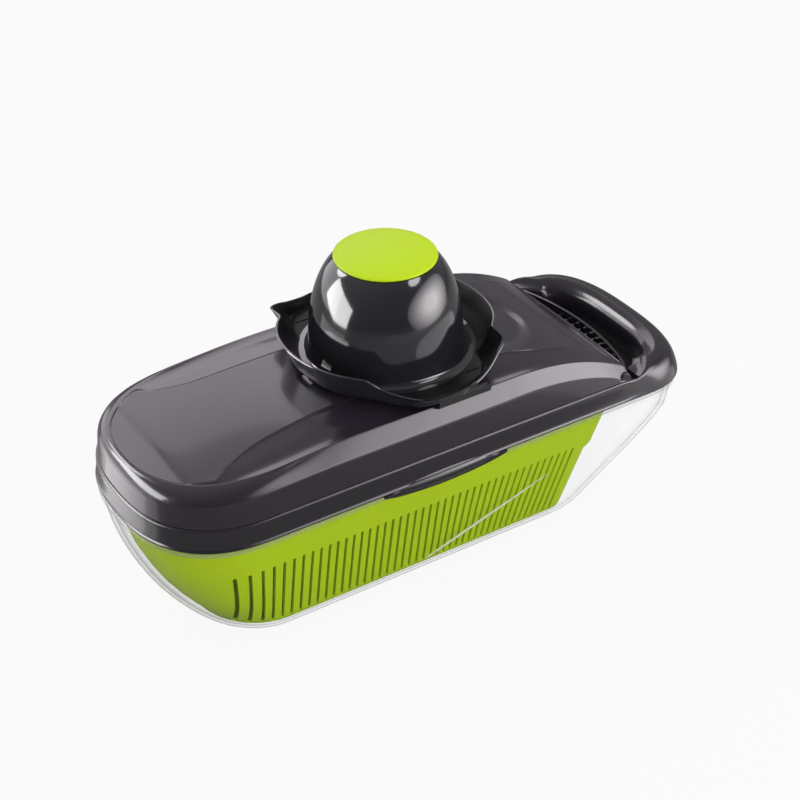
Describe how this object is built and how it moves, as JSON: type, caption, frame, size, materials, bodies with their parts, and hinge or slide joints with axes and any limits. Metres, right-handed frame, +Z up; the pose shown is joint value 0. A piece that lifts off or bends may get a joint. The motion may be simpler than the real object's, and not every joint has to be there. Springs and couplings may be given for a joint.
{
  "type": "mandoline slicer",
  "caption": "Mandoline slicer and dicer over a clear catch container with a slotted green basket, a grey hinged press lid and a round hand guard with a green plunger cap",
  "frame": {"origin": "centre of the bounding box in plan, on the plane the container rests on", "axes": "+X runs along the slicer from its rounded nose to its handle, +Y to the far side, +Z up"},
  "size_m": [0.325, 0.1258, 0.1821],
  "materials": {
    "container": "clear rigid plastic, polished",
    "basket": "moulded green plastic, smooth",
    "frame": "moulded dark grey plastic, satin",
    "lid": "moulded grey plastic with a mauve cast, satin",
    "guard": "moulded smoky dark grey plastic, glossy",
    "cap": "moulded lime green plastic, glossy",
    "blade": "ground stainless steel"
  },
  "bodies": {
    "container": {"container": "container"},
    "basket": {"drain_basket": "basket"},
    "frame": {"cutter_frame": "frame", "dicing_insert": "frame", "long_blades": "blade", "cross_blades": "blade", "slicing_insert": "frame", "slicing_blade": "blade", "blade_rivets": "blade"},
    "lid": {"lid_shell": "lid", "pusher_grid": "frame", "hinge_pin_near": "lid", "hinge_pin_far": "lid"},
    "comb": {"cleaning_grid": "basket"},
    "guard": {"guard_body": "guard"},
    "plunger": {"guard_cap": "cap", "plunger_stem": "cap", "spike_plate": "guard", "food_spikes": "blade", "stem_screw": "blade"}
  },
  "joints": [
    {"name": "frame_lift", "type": "slide", "parent": "container", "child": "frame", "axis": [0, 0, 1], "range_m": [0, 0.06]},
    {"name": "basket_lift", "type": "slide", "parent": "container", "child": "basket", "axis": [0, 0, 1], "range_m": [0, 0.03]},
    {"name": "lid_hinge", "type": "hinge", "parent": "frame", "child": "lid", "pos_m": [0.1075, 0, 0.0964], "axis": [0, 1, 0], "range_deg": [0, 100]},
    {"name": "comb_drop", "type": "slide", "parent": "lid", "child": "comb", "axis": [0, 0, -1], "range_m": [0, 0.012]},
    {"name": "guard_lift", "type": "slide", "parent": "lid", "child": "guard", "axis": [0, 0, 1], "range_m": [0, 0.05]},
    {"name": "plunger_slide", "type": "slide", "parent": "guard", "child": "plunger", "axis": [0, 0, 1], "range_m": [0, 0.032]}
  ],
  "couplings": [
    {"joint": "basket_lift", "follows": "frame_lift", "ratio": 0.5}
  ]
}
